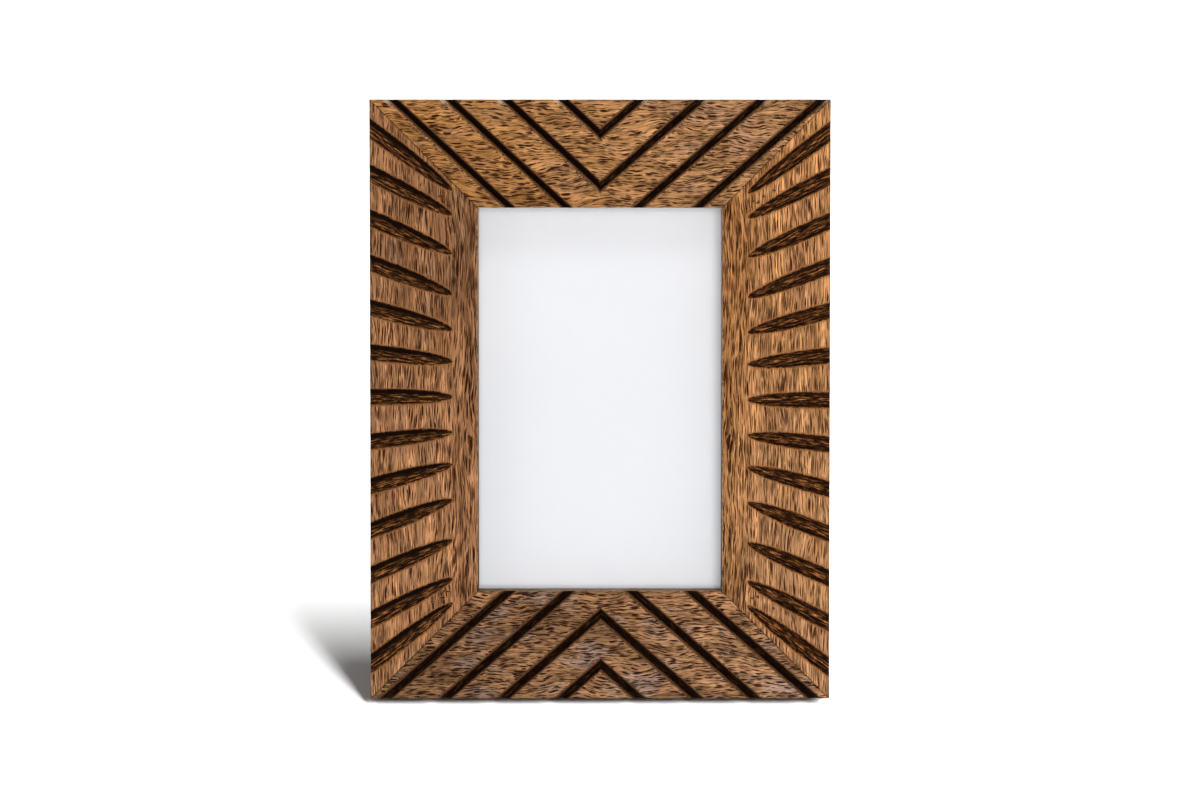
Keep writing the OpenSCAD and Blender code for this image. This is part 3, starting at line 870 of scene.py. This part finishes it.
# Light passes straight through the pane, so that the insert behind it is lit and shaded plainly
light = tree.nodes.new("ShaderNodeLightPath").outputs
passing = sum_of(tree, "MAXIMUM", light["Is Shadow Ray"], light["Is Diffuse Ray"])
clear = tree.nodes.new("ShaderNodeBsdfTransparent")
clear.inputs["Color"].default_value = (0.965, 0.97, 0.967, 1)
shaders = {0: passing, 1: shader.outputs[0], 2: clear.outputs[0]}
passed = add(tree, "ShaderNodeMixShader", 0, shaders)
feed(tree, tree.nodes["Material Output"].inputs["Surface"], passed)
fit_piece(
    "seamed_glass_pane", glass_shape, leaned, "glass_pane", "frame", [glass_material],
    crease=20,
)


# The insert
# A plain sheet of pale, slightly blue paper fills the print's place behind the glass. Its pulp
# shows only as a faint unevenness, and the sheet greys a little here and there.
insert_material, tree, shader = new_material("insert_paper")
place = place_in_mm(tree)
pulp = clouds(tree, place, (1.6, 1.6, 1.6), 5.0, 0.7)
sheet_tone = clouds(tree, place, (0.02, 0.02, 0.02), 2.0)
greyer = ramp(tree, sheet_tone, 0.3, 0.7, 0.0, 0.5)
greyer = sum_of(tree, "ADD", ramp(tree, pulp, 0.3, 0.7, 0.0, 0.5), greyer)
paper = mixed(tree, greyer, (0.835, 0.835, 0.885, 1), (0.805, 0.805, 0.85, 1))
feed(tree, shader.inputs["Base Color"], paper)
feed(tree, shader.inputs["Roughness"], ramp(tree, pulp, 0.3, 0.7, 0.72, 0.86))
shader.inputs["Specular IOR Level"].default_value = 0.25
bumped(tree, shader, pulp, 0.02 * mm, 0.6)
refinish("photo_insert", insert_material)


# The backing board
# Fibreboard faced with black paper on both sides, sawn to the bay, so that its brown fibre
# shows at the edges. It closes the rebate and carries the strut hinge.
def board_material(name, paper, fibre, edge):
    """Black paper laid on fibreboard, or the board's own sawn edge"""
    material, tree, shader = new_material(name)
    place = place_in_mm(tree)
    felt = clouds(tree, place, (1.3, 1.3, 1.3), 5.0, 0.7)
    scuff = clouds(tree, place, (0.06, 0.06, 0.06), 5.0, 0.7, offset=(5.0, 2.0, 9.0))
    if edge:
        layers = clouds(tree, place, (0.4, 4.0, 0.4), 3.0)
        colour = mixed(tree, ramp(tree, layers, 0.35, 0.65), fibre, (0.055, 0.033, 0.02, 1))
    else:
        rims = axes_of(tree, add(tree, "ShaderNodeAttribute", "Vector", attribute_name="rims"))
        grey = mixed(tree, ramp(tree, scuff, 0.5, 0.75, 0.0, 0.6), paper, (0.05, 0.048, 0.045, 1))
        colour = use(
            tree, rubbing, Surface=grey, Rubbed=fibre, Gap=rims["X"], Place=place, Width=0.35,
            Strength=0.6,
        )["Color"]
    feed(tree, shader.inputs["Base Color"], colour)
    feed(tree, shader.inputs["Roughness"], ramp(tree, felt, 0.3, 0.7, 0.62, 0.85))
    shader.inputs["Specular IOR Level"].default_value = 0.3
    bumped(tree, shader, felt, (0.12 if edge else 0.035) * mm)
    return material


fibre_brown = (0.13, 0.078, 0.044, 1)
black_paper = board_material("black_paper", (0.014, 0.014, 0.015, 1), fibre_brown, False)
sawn_edge = board_material("sawn_fibreboard", None, fibre_brown, True)
board_arris = 0.3 * mm
rubbed_band = 2.2 * mm


def paper_faced(node, stand):
    """A sheet of the board: softened arrises, and its edges given to the second material"""
    shape = solid_copy(node, stand)
    soften(shape, board_arris, 3)
    rims_layer = shape.verts.layers.float_vector.new("rims")
    shape.normal_update()
    for face in shape.faces:
        face.material_index = int(abs(face.normal.y) < 0.5)
    flat = [f for f in shape.faces if abs(f.normal.y) > 0.999]
    sides = [f for f in flat if f.calc_area() > (5 * mm) ** 2]
    bmesh.ops.inset_region(shape, faces=sides, thickness=rubbed_band, use_even_offset=True)
    for vertex in {v for f in sides for v in f.verts}:
        vertex[rims_layer] = Vector((rubbed_band / mm, 0, 0))
    return shape


board_shape = paper_faced("backing_board", leaned)
front = min(v.co.y for v in board_shape.verts)
for vertex in board_shape.verts:
    if vertex.co.y < front + 0.01 * mm:
        vertex.co.y += air
fit_piece(
    "papered_backing_board", board_shape, leaned, "backing_board", "frame",
    [black_paper, sawn_edge],
)


# The board's hinge leaf
# A leaf of 0.8 mm plated steel, cut flat, and rolled at its lower end into two knuckles that
# grip the pin. It is held on the board by two rivets.
pin_low, pin_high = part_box("hinge_pin")
pin_middle = (pin_low + pin_high) / 2
hinge_stand = Matrix.Translation(pin_middle) @ Matrix.Rotation(-lean, 4, "X")
hinge_steel = metal_material("hinge_steel", (0.32, 0.315, 0.30, 1), (0.16, 0.152, 0.136, 1), 0.8)
leaf_t = 0.8 * mm
leaf_half = 11 * mm
roll_r = 1.1 * mm
knuckle_half = 5 * mm
fixed_knuckle = 5.4 * mm
corner_cut = 2.2 * mm


def flat_blank(low, high, x_cuts, z_cuts, waste):
    """A sheet in X and Z as wide as a leaf, scored at the cuts, with the waste faces removed"""
    blank = bmesh.new()
    lie = Matrix.Translation((0, 0, (low + high) / 2)) @ Matrix.Rotation(math.radians(90), 4, "X")
    size = Matrix.Diagonal((2 * leaf_half, high - low, 1, 1))
    bmesh.ops.create_grid(blank, x_segments=1, y_segments=1, size=0.5, matrix=lie @ size)
    slice_at(blank, blank.faces[:], Vector((1, 0, 0)), x_cuts)
    slice_at(blank, blank.faces[:], Vector((0, 0, 1)), z_cuts)
    gone = [f for f in blank.faces if waste(*f.calc_center_median().xz)]
    bmesh.ops.delete(blank, geom=gone, context="FACES")
    return blank


def clip_corners(blank, end):
    """Cuts the two corners at the leaf's free end"""
    up = math.copysign(1, end)
    for side in (-1, 1):
        corner = Vector((side * (leaf_half - corner_cut), 0, end))
        bmesh.ops.bisect_plane(
            blank, geom=[*blank.verts, *blank.edges, *blank.faces], dist=on_plane,
            plane_co=corner, plane_no=Vector((side, 0, up)), clear_outer=True,
        )


def rolled_leaf(blank, bent, growth):
    """Bends a blank to its shape about the pin, and gives it its thickness away from the pin"""
    for vertex in blank.verts:
        vertex.co = bent(vertex.co.x, vertex.co.z)
    blank.normal_update()
    bmesh.ops.solidify(blank, geom=blank.faces[:], thickness=growth)
    bmesh.ops.remove_doubles(blank, verts=blank.verts, dist=same_point)
    bmesh.ops.recalc_face_normals(blank, faces=blank.faces)
    soften(blank, 0.13 * mm, 2, 50)
    return blank


roll_turn = math.radians(295)
roll_steps = 18
roll_cuts = [roll_r * roll_turn * step / roll_steps for step in range(roll_steps + 1)]
board_leaf_top = 15 * mm
notch_top = 2.5 * mm
notch_steps = 6
notch_cuts = [notch_top * step / notch_steps for step in range(1, notch_steps + 1)]
set_back = 0.4 * mm


def board_leaf_bend(x, z):
    """Flat on the board, eased back over the notch's height, then rolled round below the pin"""
    if z >= 0:
        rise = min(1.0, z / notch_top)
        return Vector((x, -roll_r - set_back * rise * rise * (3 - 2 * rise), z))
    turn = -z / roll_r
    return Vector((x, -roll_r * math.cos(turn), -roll_r * math.sin(turn)))


leaf_blank = flat_blank(
    -roll_r * roll_turn,
    board_leaf_top,
    [-fixed_knuckle, fixed_knuckle],
    [-c for c in reversed(roll_cuts[:-1])] + notch_cuts,
    lambda x, z: abs(x) < fixed_knuckle and z < notch_top,
)
clip_corners(leaf_blank, board_leaf_top)
leaf_shape = rolled_leaf(leaf_blank, board_leaf_bend, -leaf_t)
fit_piece(
    "rolled_board_leaf", leaf_shape, hinge_stand, "board_hinge_leaf", "frame",
    [hinge_steel],
)


# The pin and the rivets
# The pin is steel wire with its ends rounded over. The rivets are soft steel with low domed
# heads on the leaf, and their shanks go through leaf and board.
pin_shape = solid_copy("hinge_pin", hinge_stand)
soften(pin_shape, 0.35 * mm, 4, 60)
fit_piece(
    "rounded_hinge_pin", pin_shape, hinge_stand, "hinge_pin", "frame", [hinge_steel],
    crease=40,
)

rivet_r = 1.2 * mm
rivet_head_r = 2.2 * mm
rivet_head_h = 0.9 * mm
rivet_rim_h = 0.12 * mm
rivet_undercut = 0.06 * mm


def turned(shape, spot, profile):
    """Adds a solid turned about Y at the spot, from its profile of radius and height"""
    points = [shape.verts.new(spot + Vector((r, h, 0))) for r, h in profile]
    edges = [shape.edges.new(pair) for pair in zip(points, points[1:])]
    bmesh.ops.spin(
        shape, geom=points + edges, cent=spot, axis=(0, 1, 0), angle=math.tau, steps=28,
        use_merge=True,
    )
    bmesh.ops.remove_doubles(shape, verts=shape.verts, dist=same_point)
    bmesh.ops.recalc_face_normals(shape, faces=shape.faces)


def domed(radius, height, foot):
    """The profile of a low dome, from its crown down to its rim at the foot's height"""
    turns = [math.radians(15 * step) for step in range(7)]
    return [(radius * math.sin(a), foot + (height - foot) * math.cos(a)) for a in turns]


def rivets(name, spots, grip, stand, node, body):
    """Rivets on one body, with their heads on the leaf"""
    shape = bmesh.new()
    profile = domed(rivet_head_r, rivet_head_h, rivet_rim_h)
    profile += [(rivet_head_r - rivet_undercut, 0), (rivet_r, 0), (rivet_r, -grip), (0, -grip)]
    for spot in spots:
        turned(shape, Vector(spot), profile)
    fit_piece(name, shape, stand, node, body, [hinge_steel])


board_t = 3.0 * mm
leg_t = 3.0 * mm
board_rivet_x = 7 * mm
board_rivet_up = 10 * mm
board_spots = [(side * board_rivet_x, -roll_r - set_back, board_rivet_up) for side in (-1, 1)]
rivets("board_rivet_pair", board_spots, leaf_t + board_t, hinge_stand, "board_rivets", "frame")


# The easel leg
# A tapered strut of the same board. Its foot is cut level with the floor, and it opens until
# the tail of its hinge leaf meets the leaf on the board.
leg_fold = next(joint for joint in frame["joints"] if joint["name"] == "leg_fold")
opening = -math.radians(leg_fold["range_deg"][0])
leg_stand = hinge_stand @ Matrix.Rotation(opening, 4, "X")
fit_piece(
    "papered_easel_leg", paper_faced("easel_leg", leg_stand), leg_stand, "easel_leg", "easel",
    [black_paper, sawn_edge],
)

leg_leaf_end = -24 * mm
shoulder = -2.5 * mm
tail_half = 3.5 * mm
tail_top = 6.72 * mm
slit = 0.15 * mm
leg_rivets_down = (8 * mm, 18 * mm)


def leg_leaf_waste(x, z):
    """Beside the neck, in the slits beside the tail, and beyond the loops"""
    x = abs(x)
    if z > shoulder and x > knuckle_half:
        return True
    if z > slit and tail_half < x < tail_half + slit:
        return True
    return z > roll_cuts[-1] and x > tail_half


def leg_leaf_bend(x, z):
    """Flat on the leg, with a straight tail, and a loop at each side rolled over the pin"""
    if z <= 0 or abs(x) < tail_half + slit / 2:
        return Vector((x, roll_r, z))
    turn = z / roll_r
    return Vector((x, roll_r * math.cos(turn), roll_r * math.sin(turn)))


edges_across = [tail_half, tail_half + slit, knuckle_half]
leaf_blank = flat_blank(
    leg_leaf_end,
    tail_top,
    [-x for x in reversed(edges_across)] + edges_across,
    sorted([shoulder, slit, *roll_cuts]),
    leg_leaf_waste,
)
clip_corners(leaf_blank, leg_leaf_end)
leaf_shape = rolled_leaf(leaf_blank, leg_leaf_bend, leaf_t)
fit_piece(
    "looped_leg_leaf", leaf_shape, leg_stand, "leg_hinge_leaf", "easel", [hinge_steel]
)
leg_spots = [(0, roll_r + leaf_t, -down) for down in leg_rivets_down]
rivets("leg_rivet_pair", leg_spots, leaf_t + leg_t, leg_stand, "leg_rivets", "easel")


# The turn buttons
# Four tabs stamped from 1 mm brass. Each swings on its screw, and its tip holds the backing
# board in the bay.
button_brass = metal_material("button_brass", (0.55, 0.36, 0.13, 1), (0.24, 0.145, 0.055, 1), 0.75)
button_places = {
    "upper_left": (-1, 1),
    "upper_right": (1, 1),
    "lower_left": (-1, -1),
    "lower_right": (1, -1),
}
for number, corner in enumerate(button_places, start=1):
    node = f"turn_button_{number}"
    shape = solid_copy(node, leaned)
    soften(shape, 0.2 * mm, 3)
    fit_piece(
        f"{corner}_turn_button", shape, leaned, node, f"button_{corner}", [button_brass]
    )


# The button screws
# Dome-headed steel screws with a sawn slot. Each stands in the stile and leaves its button
# just free to turn.
screw_steel = metal_material("screw_steel", (0.42, 0.41, 0.39, 1), (0.20, 0.18, 0.155, 1), 0.6)
screw_x = 60.8 * mm
screw_spread = 45 * mm
screw_r = 1.4 * mm
screw_depth = 9 * mm
head_y = 1.2 * mm
head_r = 3.0 * mm
head_h = 1.7 * mm
head_rim_h = 0.35 * mm
head_undercut = 0.1 * mm
slot_half = 0.4 * mm
slot_depth = 0.7 * mm
slot_slant = 0.03 * mm
slot_turns = (12, -35, 64, 3)
shank_end = -screw_depth - head_y
profile = domed(head_r, head_h, head_rim_h)
profile += [(head_r - head_undercut, 0), (screw_r, 0), (screw_r, shank_end), (0, shank_end)]
screws_shape = bmesh.new()
for (across, up), slot_turn in zip(button_places.values(), slot_turns):
    screw = bmesh.new()
    turned(screw, Vector((0, 0, 0)), profile)
    head = [f for f in screw.faces if f.calc_center_median().y > 0]
    walls = [-slot_half, -slot_half + slot_slant, slot_half - slot_slant, slot_half]
    head = slice_at(screw, head, Vector((0, 0, 1)), walls)
    slice_at(screw, head, Vector((0, 1, 0)), [head_h - slot_depth])
    for vertex in screw.verts:
        if abs(vertex.co.z) < slot_half - 0.02 * mm and vertex.co.y > head_h - slot_depth:
            vertex.co.y = head_h - slot_depth
    spot = Matrix.Translation((across * screw_x, head_y, mid_h + up * screw_spread))
    turn = Matrix.Rotation(math.radians(slot_turn), 4, "Y")
    bmesh.ops.transform(screw, matrix=spot @ turn, verts=screw.verts)
    loose = bpy.data.meshes.new("screw")
    screw.to_mesh(loose)
    screw.free()
    screws_shape.from_mesh(loose)
    bpy.data.meshes.remove(loose)
fit_piece(
    "domed_button_screws", screws_shape, leaned, "button_screws", "frame", [screw_steel]
)


# The floor, the light and the camera
# A round sheet of white floor with the white studio beyond it, and a camera a little above the
# frame's own square-on view. The floor has two lamps of its own, a high box that throws the
# frame's soft shadow and a low one for its front, and the frame is lit by five more.
floor_shape = bmesh.new()
floor_r = 2.8
bmesh.ops.create_circle(floor_shape, cap_ends=True, segments=96, radius=floor_r)
floor_mesh = bpy.data.meshes.new("floor")
floor_shape.to_mesh(floor_mesh)
floor_shape.free()
floor = put_in_scene("floor", floor_mesh)


def shown_rays(tree):
    """1 for rays that show the background, straight, mirrored or through the glass"""
    light = tree.nodes.new("ShaderNodeLightPath").outputs
    shown = sum_of(tree, "MAXIMUM", light["Is Camera Ray"], light["Is Glossy Ray"])
    return sum_of(tree, "MAXIMUM", shown, light["Is Transmission Ray"])


floor_material, tree, shader = new_material("white_floor")
# It is white to look at, and throws only a little light back at the frame
floor_colour = mixed(tree, shown_rays(tree), (0.2, 0.2, 0.2, 1), (1.05, 1.05, 1.05, 1))
feed(tree, shader.inputs["Base Color"], floor_colour)
shader.inputs["Roughness"].default_value = 1.0
shader.inputs["Specular IOR Level"].default_value = 0.0
floor_mesh.materials.append(floor_material)

face_middle = leaned @ Vector((0, -wood_t, mid_h))
on_frame = bpy.data.collections.new("lit_with_the_frame")
on_floor = bpy.data.collections.new("lit_with_the_floor")
for piece in bpy.context.scene.collection.all_objects:
    if piece.type == "MESH":
        (on_floor if piece == floor else on_frame).objects.link(piece)


def soft_box(name, way, distance, width, depth, watts, lit, depth_way=(0, 0, 1)):
    """A soft lamp, so many metres away and across, that faces the frame and lights one group"""
    lamp = bpy.data.lights.new(name, "AREA")
    lamp.shape = "RECTANGLE"
    lamp.size = width
    lamp.size_y = depth
    lamp.energy = watts
    holder = put_in_scene(name, lamp)
    out = Vector(way).normalized()
    holder.location = face_middle + out * distance
    across = Vector(depth_way).cross(out).normalized()
    axes = Matrix((across, out.cross(across), out)).transposed()
    holder.rotation_euler = axes.to_euler()
    holder.visible_glossy = False
    holder.visible_transmission = False
    holder.light_linking.receiver_collection = lit


soft_box("floor_box", (0.112, -0.136, 1.0), 8.0, 0.4, 3.3, 600, on_floor, (0.32, -1.0, 0.0))
soft_box("low_floor_screen", (0.9, -1.0, 0.53), 2.0, 0.8, 0.6, 115, on_floor)
soft_box("overhead_box", (0.157, -0.5, 1.0), 3.0, 0.8, 0.8, 14, on_frame)
soft_box("front_screen", (0.08, -1.0, 0.22), 2.2, 0.9, 0.8, 34.5, on_frame)
soft_box("right_screen", (1.0, -0.8, 0.3), 2.0, 1.0, 1.2, 1.5, on_frame)
soft_box("left_screen", (-1.0, -0.8, 0.3), 2.0, 1.0, 1.2, 4.5, on_frame)
soft_box("rear_screen", (-0.35, 1.0, 0.35), 2.0, 1.4, 1.2, 18, on_frame)

world = bpy.data.worlds.new("studio")
bpy.context.scene.world = world
world.use_nodes = True
tree = world.node_tree
# The tent is brightest in front of the frame, and dim behind it
heading = axes_of(tree, add(tree, "ShaderNodeTexCoord", "Generated"))["Y"]
tent = ramp(tree, heading, -0.7, 0.5, 0.22, 0.12)
feed(tree, tree.nodes["Background"].inputs["Color"], (1, 1, 1, 1))
strength = sum_of(tree, "MAXIMUM", shown_rays(tree), tent)
feed(tree, tree.nodes["Background"].inputs["Strength"], strength)

camera = bpy.data.cameras.new("camera")
camera_holder = put_in_scene("camera", camera)
picture_w = 1200
pixels_per_mm = 2.75
camera_distance = 1.5
camera_height_angle = lean + math.radians(2.6)
camera.sensor_width = 36
camera.lens = camera.sensor_width * camera_distance / mm * pixels_per_mm / picture_w
camera_way = Vector((0, -math.cos(camera_height_angle), math.sin(camera_height_angle)))
camera_holder.location = face_middle + camera_way * camera_distance
camera_holder.rotation_euler = (math.pi / 2 - camera_height_angle, 0, 0)
bpy.context.scene.camera = camera_holder
bpy.context.scene.view_settings.view_transform = "Standard"
